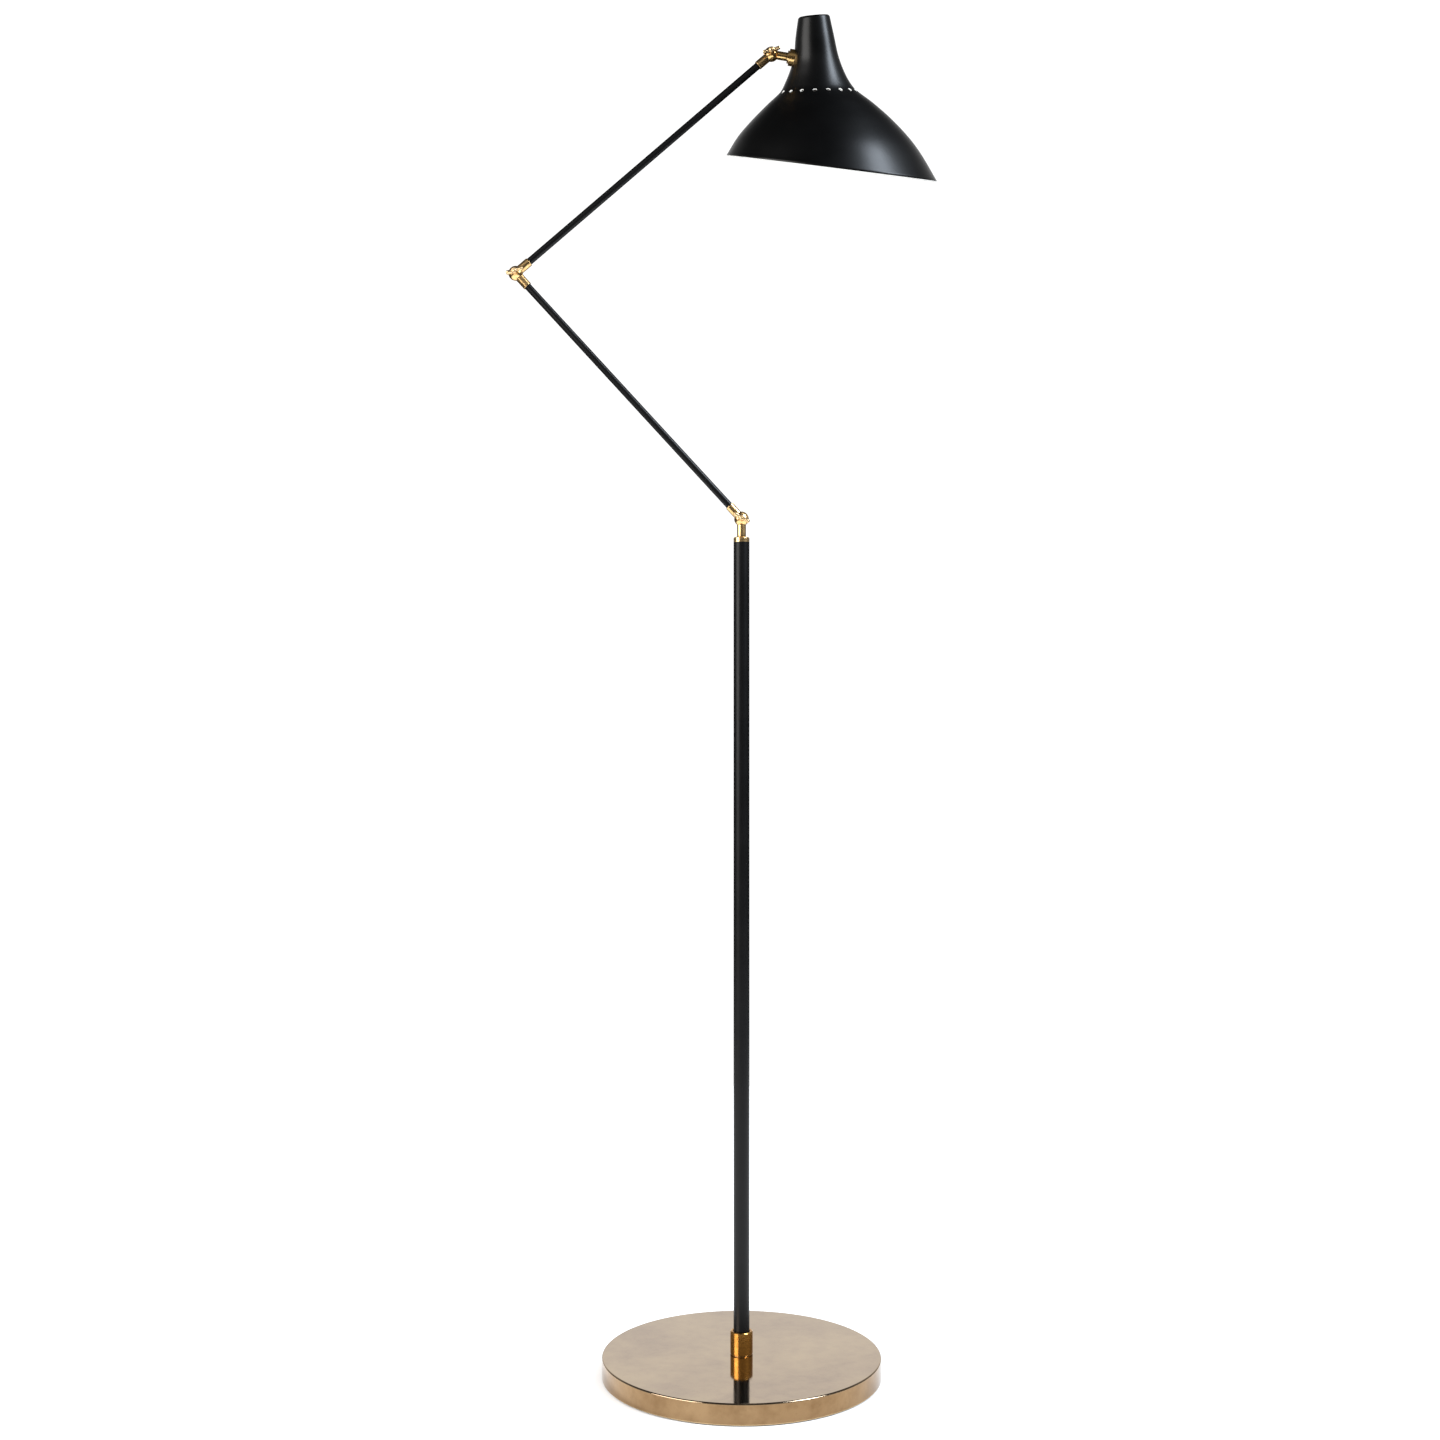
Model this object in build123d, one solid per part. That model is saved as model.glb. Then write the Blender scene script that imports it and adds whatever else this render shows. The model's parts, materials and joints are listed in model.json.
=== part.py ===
from build123d import *
import os
from math import cos, radians, sin, sqrt

# Adjustable arm floor lamp. Millimetres, +Z up. The origin is on the floor, on the axis of the pole.
# The arms fold in the XZ plane, and the clamp screws of the three knuckles face -Y, the front.

# ---------------------------------------------------------------- base
BASE_DIAMETER = 280.0
COVER_HEIGHT = 20.2
COVER_WALL = 1.2
COVER_EDGE = 1.6              # rounding of the cover's upper edge
COVER_LIFT = 1.2              # the cover's rim stays this far above the floor
PAD_THICKNESS = 2.0
PAD_INSET = 5.0
WEIGHT_GAP = 0.4              # between the weight's side and the cover's skirt
WEIGHT_WEB = 3.2              # weight left above the pocket for the nut
POCKET_RADIUS = 20.0
CHANNEL_WIDTH = 9.0
LEAD_HEIGHT = 7.0             # height of the lead where it enters the base
NIPPLE_RADIUS = 5.0
NIPPLE_BORE = 3.0
NIPPLE_GRIP = 17.0            # length of the nipple inside the pole's foot plug
NUT_HEIGHT = 4.0
NUT_FLATS = 17.0
WASHER_THICKNESS = 1.5
WASHER_RADIUS = 13.0
BUSHING_FLANGE = 5.0
BUSHING_RADIUS = 4.0
BUSHING_BORE = 2.5

# ---------------------------------------------------------------- pole
POLE_RADIUS = 8.0
POLE_WALL = 1.2
POLE_TOP = 836.2
PLUG_LENGTH = 22.0
SLEEVE_WALL = 3.3
SLEEVE_HEIGHT = 23.5
SLEEVE_LIP = 0.9
SLIP_FIT = 0.05               # radial clearance of a sliding or turning fit
FERRULE_LENGTH = 22.0
FERRULE_LIP = 2.3
SWIVEL_GAP = 0.25
SWIVEL_CAP = 2.5
SWIVEL_EDGE = 1.2
SPINDLE_RADIUS = 4.0
CIRCLIP_THICKNESS = 0.8
CIRCLIP_GROOVE = 0.5
CIRCLIP_GAP = 0.2

# ---------------------------------------------------------------- arms and knuckles
SHOULDER_HEIGHT = 859.7
LOWER_ARM_REACH = 335.0       # from hinge to hinge
UPPER_ARM_REACH = 338.0
LOWER_ARM_ANGLE = 132.6       # degrees above +X, as the lamp stands
UPPER_ARM_ANGLE = 40.6
ARM_RADIUS = 3.6
ARM_WALL = 0.8
BALL_RADIUS = 7.4
SWING_GAP = 0.35              # between a ball and the socket that swings round it
FRICTION_WASHER = 0.6
FACE_GAP = 0.05
SOCKET_RADIUS = 4.5
SOCKET_REACH = 17.8           # from the hinge to the mouth of the socket
SOCKET_FLOOR = 9.0            # from the hinge to the end of the arm tube
SOCKET_EDGE = 0.4

# ---------------------------------------------------------------- clamp screws
SCREW_RADIUS = 2.0
SCREW_TIP = 5.2               # how far the screw reaches behind the hinge plane
SPOT_FACE = 6.6               # distance of the flat under the screw's head
HUB_BASE = 3.2
HUB_RADIUS = 2.7
HEAD_HEIGHT = 8.8
WING_SPAN = 17.6
WING_THICKNESS = 2.8
WING_ROOT = 2.0               # height of the wing's root above the flat
WING_TIP = 3.0                # height of the wing's lower tip above the flat
WING_CORNER = 1.8
WING_EDGE = 0.7
DIMPLE_RADIUS = 1.1
SCREW_TURNS = {"shoulder": -28.0, "elbow": 17.0, "head": 17.5}

# ---------------------------------------------------------------- head and shade
STUB_ANGLE = -9.5             # degrees above +X
STUB_REACH = 22.2             # from the head hinge to the outside of the shade
STUB_RADIUS = 4.2
STUB_END = 16.4
RING_RADIUS = 6.3
RING_THICKNESS = 1.4
FLANGE_RADIUS = 8.3
SHADE_TURN = 16.2             # degrees the shade is turned about the stub
SHADE_WALL = 1.0
SHADE_CROWN = 2.2             # rounding of the closed top
VENT_COUNT = 18
VENT_RADIUS = 2.0
VENT_SECTION = 5              # which section of the shade carries the ring of vents
VENT_RISE = 42.0              # degrees the vents point above their ring
SHADE_SPANS = 4               # smooth steps between two sections of the form
# Sections from crown to rim: x and z of the centre from where the stub meets the shade, radius, tilt.
SHADE_SECTIONS = [
    (20.5, 39.5, 15.6, 4.4),
    (21.5, 20.0, 19.3, 4.0),
    (23.0, 1.0, 22.4, 3.0),
    (23.5, -12.5, 27.1, 2.2),
    (24.2, -24.0, 32.7, 1.6),
    (25.4, -32.0, 38.4, 1.2),
    (28.0, -44.0, 53.4, 0.0),
    (31.0, -61.0, 72.3, -1.4),
    (34.7, -80.5, 90.3, -3.6),
    (39.7, -106.7, 108.0, -7.2),
]

# ---------------------------------------------------------------- lamp holder inside the shade
BARREL_RADIUS = 5.5
SADDLE_RADIUS = 7.4
SADDLE_FACE = 2.9             # from the outside of the shade to the saddle's flat face
SEAT_GAP = 0.08               # between the shade's curved wall and the pieces shaped to it
BRACKET_THICKNESS = 1.4
BRACKET_WIDTH = 13.0
BRACKET_DROP = 9.6            # from the stub's axis down to the bracket's foot
LOCK_NUT_HEIGHT = 2.4
LOCK_NUT_FLATS = 13.0
THREAD_OVERRUN = 0.5          # barrel left showing past its nut
HOLDER_PLACE = 29.0           # from the outside of the shade to the holder's axis
HOLDER_RADIUS = 15.2
HOLDER_LENGTH = 36.0
HOLDER_CAP = 11.0
SHELL_RADIUS = 13.2
SHELL_WALL = 0.5
SHELL_LENGTH = 22.0
CONTACT_RADIUS = 4.0
CONTACT_THICKNESS = 1.0
HOLDER_SCREW_PLACE = 8.5
HOLDER_SCREW_RADIUS = 1.5
HOLDER_SCREW_HEAD = 2.6
HOLDER_SCREW_RISE = 1.8
HOLDER_SCREW_DEPTH = 6.0
SHADE_LEAD_DEPTH = 3.0        # how far the lead goes into the holder's cap

# ---------------------------------------------------------------- lead
LEAD_RADIUS = 2.0
LEAD_BEND = 6.0
SHADE_LEAD_BEND = 7.0

BIG = 400.0

# ---------------------------------------------------------------- places worked out from the sizes
BASE_RADIUS = BASE_DIAMETER / 2
BASE_TOP = COVER_LIFT + COVER_HEIGHT
COVER_INSIDE = BASE_RADIUS - COVER_WALL
WEIGHT_TOP = BASE_TOP - COVER_WALL
WEIGHT_RADIUS = COVER_INSIDE - WEIGHT_GAP
POCKET_TOP = WEIGHT_TOP - WEIGHT_WEB
NUT_TOP = POCKET_TOP - WASHER_THICKNESS
NIPPLE_END = NUT_TOP - NUT_HEIGHT - THREAD_OVERRUN
POLE_BORE = POLE_RADIUS - POLE_WALL
SLEEVE_RADIUS = POLE_RADIUS + SLEEVE_WALL
CIRCLIP_RADIUS = (SPINDLE_RADIUS + POLE_BORE) / 2
CAP_BOTTOM = POLE_TOP + FERRULE_LIP + SWIVEL_GAP
CAP_TOP = CAP_BOTTOM + SWIVEL_CAP
SPINDLE_END = POLE_TOP - FERRULE_LENGTH - CIRCLIP_GAP - 2 * CIRCLIP_THICKNESS
HALF_FACE = FRICTION_WASHER / 2
ARM_BORE = ARM_RADIUS - ARM_WALL


def heading(angle):
    """Direction in the XZ plane, degrees above +X."""
    return Vector(cos(radians(angle)), 0, sin(radians(angle)))


SHOULDER = Vector(0, 0, SHOULDER_HEIGHT)
ELBOW = SHOULDER + heading(LOWER_ARM_ANGLE) * LOWER_ARM_REACH
HEAD = ELBOW + heading(UPPER_ARM_ANGLE) * UPPER_ARM_REACH
SEAT = HEAD + heading(STUB_ANGLE) * STUB_REACH
MAST = Plane.XY


def line_from(point, direction):
    """Plane at a point whose Z runs along a direction in the XZ plane."""
    return Plane(origin=point, x_dir=(0, 1, 0), z_dir=direction)


STUB_LINE = line_from(SEAT, heading(STUB_ANGLE))
HOLDER_LINE = line_from(SEAT + heading(STUB_ANGLE) * HOLDER_PLACE, heading(STUB_ANGLE - 90))
SHADE_SWING = Axis(SEAT, heading(STUB_ANGLE))


def rod(line, radius, start, end):
    """Cylinder on a line's Z axis, between two distances from its origin."""
    return line * Pos(0, 0, (start + end) / 2) * Cylinder(radius, end - start)


def tube(line, radius, bore, start, end):
    return rod(line, radius, start, end) - rod(line, bore, start, end)


def hexagon(line, flats, bore, start, end):
    outline = line * Pos(0, 0, start) * RegularPolygon(flats / 2, 6, major_radius=False)
    return extrude(outline, end - start, dir=line.z_dir) - rod(line, bore, start, end)


def circlip(line, start):
    """Retaining ring in the groove of a spindle."""
    ring = tube(line, CIRCLIP_RADIUS, SPINDLE_RADIUS - CIRCLIP_GROOVE, start, start + CIRCLIP_THICKNESS)
    gap = line * Pos(CIRCLIP_RADIUS, 0, start + CIRCLIP_THICKNESS / 2)
    return ring - gap * Box(2 * CIRCLIP_RADIUS, SPINDLE_RADIUS, 2 * CIRCLIP_THICKNESS)


def groove(line, start):
    """What the circlip's groove takes out of a spindle."""
    return tube(line, SPINDLE_RADIUS + 1, SPINDLE_RADIUS - CIRCLIP_GROOVE, start, start + CIRCLIP_THICKNESS)


def swept_lead(path):
    return sweep(Plane(origin=path @ 0, z_dir=path % 0) * Circle(LEAD_RADIUS), path)


def save(part, name):
    export_step(part, os.path.join("parts", name + ".step"))


# ================================================================ base
def base_cover():
    """Spun brass dish, open below, that covers the weight."""
    cover = rod(MAST, BASE_RADIUS, COVER_LIFT, BASE_TOP)
    cover = fillet(cover.edges().group_by(Axis.Z)[-1], COVER_EDGE)
    cover -= rod(MAST, COVER_INSIDE, COVER_LIFT, WEIGHT_TOP)
    cover -= rod(MAST, NIPPLE_RADIUS + SLIP_FIT, WEIGHT_TOP, BASE_TOP)
    return cover - rod(inlet_line(), BUSHING_RADIUS, 0, BASE_RADIUS + COVER_WALL)


def inlet_line():
    return Plane(origin=(0, 0, LEAD_HEIGHT), x_dir=(1, 0, 0), z_dir=(0, 1, 0))


def base_weight():
    """Cast iron disc with a pocket for the nut and a channel for the lead."""
    weight = rod(MAST, WEIGHT_RADIUS, PAD_THICKNESS, WEIGHT_TOP)
    weight -= rod(MAST, POCKET_RADIUS, PAD_THICKNESS, POCKET_TOP)
    weight -= rod(MAST, NIPPLE_RADIUS + 2 * SLIP_FIT, POCKET_TOP, WEIGHT_TOP)
    channel_top = LEAD_HEIGHT + BUSHING_FLANGE
    channel = Pos(0, WEIGHT_RADIUS / 2, (PAD_THICKNESS + channel_top) / 2)
    return weight - channel * Box(CHANNEL_WIDTH, WEIGHT_RADIUS, channel_top - PAD_THICKNESS)


def cord_bushing():
    """Nylon inlet pressed into the back of the cover, with a flange outside."""
    line = inlet_line()
    bushing = rod(line, BUSHING_RADIUS, COVER_INSIDE - 2 * COVER_WALL, BASE_RADIUS)
    bushing += rod(line, BUSHING_FLANGE, BASE_RADIUS, BASE_RADIUS + COVER_WALL)
    return bushing - rod(line, BUSHING_BORE, 0, BASE_RADIUS + 2 * COVER_WALL)


def foot_sleeve():
    """Brass sleeve round the foot of the pole, with a chamfered lip."""
    sleeve = tube(MAST, SLEEVE_RADIUS, POLE_RADIUS + SLIP_FIT, BASE_TOP, BASE_TOP + SLEEVE_HEIGHT)
    return chamfer(sleeve.edges().group_by(Axis.Z)[-1], SLEEVE_LIP)


def pole_lead():
    """Lead from the inlet, up through the nipple and the pole, into the swivel's neck."""
    run = Line((0, BASE_RADIUS, LEAD_HEIGHT), (0, LEAD_BEND, LEAD_HEIGHT))
    bend = TangentArc(run @ 1, (0, 0, LEAD_HEIGHT + LEAD_BEND), tangent=run % 1)
    rise = Line(bend @ 1, (0, 0, CAP_TOP))
    return swept_lead(Wire([run.edge(), bend.edge(), rise.edge()]))


def build_base():
    save(base_cover(), "base_cover")
    save(base_weight(), "base_weight")
    save(rod(MAST, BASE_RADIUS - PAD_INSET, 0, PAD_THICKNESS), "base_pad")
    nipple_top = BASE_TOP + NIPPLE_GRIP
    save(tube(MAST, NIPPLE_RADIUS, NIPPLE_BORE, NIPPLE_END, nipple_top), "base_nipple")
    save(tube(MAST, WASHER_RADIUS, NIPPLE_RADIUS + SLIP_FIT, NUT_TOP, POCKET_TOP), "base_washer")
    save(hexagon(MAST, NUT_FLATS, NIPPLE_RADIUS, NUT_TOP - NUT_HEIGHT, NUT_TOP), "base_nut")
    save(cord_bushing(), "cord_bushing")
    save(foot_sleeve(), "foot_sleeve")
    save(tube(MAST, POLE_BORE, NIPPLE_RADIUS, BASE_TOP, BASE_TOP + PLUG_LENGTH), "pole_foot_plug")
    save(tube(MAST, POLE_RADIUS, POLE_BORE, BASE_TOP, POLE_TOP), "pole_tube")
    ferrule = rod(MAST, POLE_BORE, POLE_TOP - FERRULE_LENGTH, POLE_TOP)
    ferrule += rod(MAST, POLE_RADIUS, POLE_TOP, POLE_TOP + FERRULE_LIP)
    ferrule -= rod(MAST, SPINDLE_RADIUS + SLIP_FIT, POLE_TOP - FERRULE_LENGTH, POLE_TOP + FERRULE_LIP)
    save(ferrule, "pole_ferrule")
    save(pole_lead(), "pole_lead")


# ================================================================ knuckles
def knuckle_half(centre, direction, side, radius, reach, bore_floor):
    """Half ball with its socket. Side is +1 behind the hinge plane and -1 in front of it."""
    face = HALF_FACE + (FACE_GAP if side < 0 else 0)
    own_side = Pos(centre) * Pos(0, side * (face + BIG / 2), 0) * Box(BIG, BIG, BIG)
    other_side = Pos(centre) * Pos(0, side * (face - BIG / 2), 0) * Box(BIG, BIG, BIG)
    line = line_from(centre, direction)
    socket = rod(line, radius, 0, reach)
    mouth = socket.edges().sort_by(lambda edge: (edge.center() - centre).length)[-1]
    socket = fillet([mouth], SOCKET_EDGE)
    half = (Pos(centre) * Sphere(BALL_RADIUS)) & own_side
    half += socket
    half -= (Pos(centre) * Sphere(BALL_RADIUS + SWING_GAP)) & other_side
    half -= rod(screw_line(centre, 0), SCREW_RADIUS + SLIP_FIT, -BALL_RADIUS - 1, BALL_RADIUS + 1)
    half -= rod(screw_line(centre, 0), BALL_RADIUS, SPOT_FACE, BALL_RADIUS + 1)
    return half - rod(line, ARM_RADIUS, bore_floor, reach) if bore_floor else half


def screw_line(centre, turn):
    """Plane on the hinge axis whose Z faces the front and whose X is turned in the XZ plane."""
    return Plane(origin=centre, x_dir=heading(turn), z_dir=(0, -1, 0))


def wing_screw(centre, turn):
    """Clamp screw with two cast wings on a tapered hub."""
    line = screw_line(centre, turn)
    flat = SPOT_FACE + FACE_GAP
    top = flat + HEAD_HEIGHT
    screw = rod(line, SCREW_RADIUS, -SCREW_TIP, flat)
    hub = Pos(0, 0, flat + WING_TIP / 2) * Cone(HUB_BASE, HUB_RADIUS, WING_TIP)
    screw += line * hub
    screw += rod(line, HUB_RADIUS, flat + WING_TIP, top)
    outline = [(-HUB_BASE + 1, flat + WING_ROOT), (HUB_BASE - 1, flat + WING_ROOT),
               (WING_SPAN / 2, flat + WING_TIP), (WING_SPAN / 2, top - WING_CORNER / 2),
               (-WING_SPAN / 2, top - WING_CORNER / 2), (-WING_SPAN / 2, flat + WING_TIP)]
    profile = make_face(Polyline(*outline, close=True))
    tips = profile.vertices().sort_by(Axis.X)
    profile = fillet(list(tips[:2]) + list(tips[-2:]), WING_CORNER)
    wings = extrude(Plane.XZ * profile, WING_THICKNESS / 2, both=True)
    wings = fillet(wings.faces().filter_by(Axis.Y).edges(), WING_EDGE)
    screw += line * wings
    return screw - line * Pos(0, 0, top) * Sphere(DIMPLE_RADIUS)


def friction_washer(centre):
    return tube(screw_line(centre, 0), BALL_RADIUS - 2 * SWING_GAP, SCREW_RADIUS + SLIP_FIT,
                -HALF_FACE, HALF_FACE)


# ================================================================ mast swivel
def mast_swivel():
    """Turning cap on the pole with its spindle, neck and the fixed half of the shoulder."""
    swivel = rod(MAST, POLE_RADIUS, CAP_BOTTOM, CAP_TOP)
    swivel = fillet(swivel.edges().group_by(Axis.Z)[-1], SWIVEL_EDGE)
    swivel += rod(MAST, SPINDLE_RADIUS, SPINDLE_END, CAP_BOTTOM)
    swivel += knuckle_half(SHOULDER, Vector(0, 0, -1), 1, SOCKET_RADIUS, SHOULDER_HEIGHT - CAP_TOP, 0)
    swivel -= rod(MAST, BUSHING_BORE, SPINDLE_END, SHOULDER_HEIGHT - SOCKET_FLOOR)
    return swivel - groove(MAST, SPINDLE_END + CIRCLIP_THICKNESS)


def build_swivel():
    save(mast_swivel(), "mast_swivel")
    save(circlip(MAST, SPINDLE_END + CIRCLIP_THICKNESS), "swivel_circlip")
    save(friction_washer(SHOULDER), "shoulder_washer")
    save(wing_screw(SHOULDER, SCREW_TURNS["shoulder"]), "shoulder_wing_screw")


# ================================================================ arms
def build_arm(name, start, angle, reach, end_name, start_name):
    """Arm tube with a front half at its lower hinge and a rear half at its upper hinge."""
    along = heading(angle)
    end = start + along * reach
    save(knuckle_half(start, along, -1, SOCKET_RADIUS, SOCKET_REACH, SOCKET_FLOOR),
         name + "_" + start_name + "_socket")
    save(knuckle_half(end, -along, 1, SOCKET_RADIUS, SOCKET_REACH, SOCKET_FLOOR),
         name + "_" + end_name + "_socket")
    line = line_from(start, along)
    save(tube(line, ARM_RADIUS, ARM_BORE, SOCKET_FLOOR, reach - SOCKET_FLOOR), name + "_tube")
    save(rod(line, LEAD_RADIUS, SOCKET_FLOOR, reach - SOCKET_FLOOR), name + "_lead")
    save(friction_washer(end), end_name + "_washer")
    save(wing_screw(end, SCREW_TURNS[end_name]), end_name + "_wing_screw")


# ================================================================ head stub
def stub_circlip_start():
    return SADDLE_FACE + BRACKET_THICKNESS + LOCK_NUT_HEIGHT + THREAD_OVERRUN + CIRCLIP_GAP


def head_stub():
    """Moving half of the head knuckle with the hollow spindle that carries the shade."""
    stub = knuckle_half(HEAD, heading(STUB_ANGLE), -1, STUB_RADIUS, STUB_END, 0)
    ring_start = STUB_END - STUB_REACH
    stub += rod(STUB_LINE, RING_RADIUS, ring_start, ring_start + RING_THICKNESS)
    spindle_tip = stub_circlip_start() + 2 * CIRCLIP_THICKNESS
    stub += rod(STUB_LINE, SPINDLE_RADIUS, ring_start, spindle_tip)
    stub -= rod(STUB_LINE, BUSHING_BORE, SOCKET_FLOOR - STUB_REACH, spindle_tip)
    return stub - groove(STUB_LINE, stub_circlip_start())


# ================================================================ shade
def section_plane(section):
    x, z, radius, tilt = section
    return Plane(origin=SEAT + Vector(x, 0, z), x_dir=heading(tilt), z_dir=heading(tilt + 90))


def slope_at(index, column):
    """Change of a section's value with height, from its neighbours."""
    before = SHADE_SECTIONS[max(index - 1, 0)]
    after = SHADE_SECTIONS[min(index + 1, len(SHADE_SECTIONS) - 1)]
    return (after[column] - before[column]) / (after[1] - before[1])


def between(index, share):
    """Section a share of the way from one section to the next, on a smooth curve."""
    low, high = SHADE_SECTIONS[index], SHADE_SECTIONS[index + 1]
    rise = high[1] - low[1]
    ease = share * share * (3 - 2 * share)
    start_pull = share * (1 - share) ** 2 * rise
    end_pull = share * share * (share - 1) * rise
    values = [low[c] + (high[c] - low[c]) * ease + slope_at(index, c) * start_pull
              + slope_at(index + 1, c) * end_pull for c in (0, 2, 3)]
    return values[0], low[1] + rise * share, values[1], values[2]


def smooth_sections():
    steps = [(index, step / SHADE_SPANS) for index in range(len(SHADE_SECTIONS) - 1)
             for step in range(SHADE_SPANS)]
    return [between(index, share) for index, share in steps] + [SHADE_SECTIONS[-1]]


def shade_form(inside):
    """Solid between the crown and the rim, to the outside or to the inside of the wall."""
    sections = smooth_sections()
    faces = []
    for index, section in enumerate(sections):
        before = sections[max(index - 1, 0)]
        after = sections[min(index + 1, len(sections) - 1)]
        slope = (after[2] - before[2]) / (before[1] - after[1])
        wall = SHADE_WALL * sqrt(1 + slope * slope) if inside else 0
        plane = section_plane(section)
        if inside and index == 0:
            plane = plane.offset(-SHADE_WALL)
        faces.append(plane * Circle(section[2] - wall))
    return loft(faces)


def vent_cutters():
    section = SHADE_SECTIONS[VENT_SECTION]
    plane = section_plane(section)
    cutters = []
    for index in range(VENT_COUNT):
        turn = Rot(0, 0, index * 360 / VENT_COUNT) * Pos(section[2], 0, 0) * Rot(0, 90 - VENT_RISE, 0)
        cutters.append(plane * turn * Cylinder(VENT_RADIUS, 8 * SHADE_WALL))
    return cutters


def shade_shell(outer, inner):
    """Spun steel shade: closed crown, bell below a ring of vents, hole for the bush."""
    shell = fillet(outer.edges().sort_by(Axis.Z)[-1:], SHADE_CROWN) - inner
    shell -= vent_cutters()
    return shell - rod(STUB_LINE, BARREL_RADIUS + SLIP_FIT, -SADDLE_FACE, SADDLE_FACE)


def shade_bush(outer):
    """Brass bush: a flange shaped to the shade outside, and a threaded barrel through it."""
    flange = rod(STUB_LINE, FLANGE_RADIUS, STUB_END + RING_THICKNESS + SWIVEL_GAP - STUB_REACH, SADDLE_FACE)
    bush = flange - outer.moved(Location(heading(STUB_ANGLE) * -SEAT_GAP))
    barrel_end = SADDLE_FACE + BRACKET_THICKNESS + LOCK_NUT_HEIGHT + THREAD_OVERRUN
    bush += rod(STUB_LINE, BARREL_RADIUS, -SADDLE_FACE, barrel_end)
    return bush - rod(STUB_LINE, SPINDLE_RADIUS + SLIP_FIT, -STUB_REACH, barrel_end)


def inner_saddle(inner):
    """Washer that fills the curve between the shade's wall and the flat bracket."""
    hollow = inner.moved(Location(heading(STUB_ANGLE) * SEAT_GAP))
    saddle = rod(STUB_LINE, SADDLE_RADIUS, 0, SADDLE_FACE) & hollow
    return saddle - rod(STUB_LINE, BARREL_RADIUS + SLIP_FIT, 0, SADDLE_FACE)


def holder_bracket():
    """Angle of steel strip from the bush to the top of the lamp holder."""
    top = BARREL_RADIUS + BRACKET_THICKNESS
    leg_height = top + BRACKET_DROP + BRACKET_THICKNESS
    foot_length = HOLDER_PLACE - SADDLE_FACE + HOLDER_SCREW_PLACE + 2 * HOLDER_SCREW_HEAD
    corner = line_from(SEAT, heading(STUB_ANGLE - 90))
    toward = corner.z_dir
    leg = Plane(origin=SEAT + heading(STUB_ANGLE) * (SADDLE_FACE + BRACKET_THICKNESS / 2)
                + toward * (leg_height / 2 - top), x_dir=(0, 1, 0), z_dir=heading(STUB_ANGLE))
    bracket = leg * Box(BRACKET_WIDTH, leg_height, BRACKET_THICKNESS)
    foot = Plane(origin=SEAT + heading(STUB_ANGLE) * (SADDLE_FACE + foot_length / 2)
                 + toward * (BRACKET_DROP + BRACKET_THICKNESS / 2), x_dir=(0, 1, 0), z_dir=toward)
    bracket += foot * Box(BRACKET_WIDTH, foot_length, BRACKET_THICKNESS)
    bracket -= rod(STUB_LINE, BARREL_RADIUS + SLIP_FIT, 0, HOLDER_PLACE / 2)
    bracket -= rod(HOLDER_LINE, LEAD_RADIUS + 2 * SWING_GAP, 0, HOLDER_LENGTH)
    for place in holder_screw_lines():
        bracket -= rod(place, HOLDER_SCREW_RADIUS + SLIP_FIT, 0, HOLDER_LENGTH)
    return bracket


def holder_screw_lines():
    aside = heading(STUB_ANGLE) * HOLDER_SCREW_PLACE
    return [line_from(HOLDER_LINE.origin + aside * side, HOLDER_LINE.z_dir) for side in (-1, 1)]


HOLDER_TOP = BRACKET_DROP + BRACKET_THICKNESS
HOLDER_MOUTH = HOLDER_TOP + HOLDER_LENGTH
SHELL_TOP = HOLDER_TOP + HOLDER_CAP


def lamp_holder():
    """Insulating body of the screw lamp holder."""
    holder = rod(HOLDER_LINE, HOLDER_RADIUS, HOLDER_TOP, HOLDER_MOUTH)
    holder -= rod(HOLDER_LINE, SHELL_RADIUS + SHELL_WALL, SHELL_TOP, HOLDER_MOUTH)
    holder -= rod(HOLDER_LINE, LEAD_RADIUS + 2 * SWING_GAP, HOLDER_TOP, HOLDER_TOP + SHADE_LEAD_DEPTH)
    for place in holder_screw_lines():
        holder -= rod(place, HOLDER_SCREW_RADIUS, HOLDER_TOP, HOLDER_TOP + HOLDER_SCREW_DEPTH)
    return holder


def holder_screw(line):
    """Pan-head screw through the bracket's foot into the holder."""
    head = rod(line, HOLDER_SCREW_HEAD, BRACKET_DROP - HOLDER_SCREW_RISE, BRACKET_DROP)
    top_edge = head.edges().sort_by(lambda edge: (edge.center() - line.origin).length)[0]
    head = fillet([top_edge], HOLDER_SCREW_RISE / 2)
    slot = line * Pos(0, 0, BRACKET_DROP - HOLDER_SCREW_RISE)
    head -= slot * Box(3 * HOLDER_SCREW_HEAD, HOLDER_SCREW_RADIUS / 2, HOLDER_SCREW_RISE)
    return head + rod(line, HOLDER_SCREW_RADIUS, BRACKET_DROP, HOLDER_TOP + HOLDER_SCREW_DEPTH)


def shade_lead():
    """Lead from the stub's spindle, over the bracket, into the holder's cap."""
    out = heading(STUB_ANGLE)
    down = heading(STUB_ANGLE - 90)
    start = SEAT + out * SADDLE_FACE
    bend_start = SEAT + out * (HOLDER_PLACE - SHADE_LEAD_BEND)
    bend_end = SEAT + out * HOLDER_PLACE + down * SHADE_LEAD_BEND
    run = Line(start, bend_start)
    bend = TangentArc(run @ 1, bend_end, tangent=run % 1)
    drop = Line(bend @ 1, SEAT + out * HOLDER_PLACE + down * (HOLDER_TOP + SHADE_LEAD_DEPTH))
    return swept_lead(Wire([run.edge(), bend.edge(), drop.edge()]))


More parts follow.
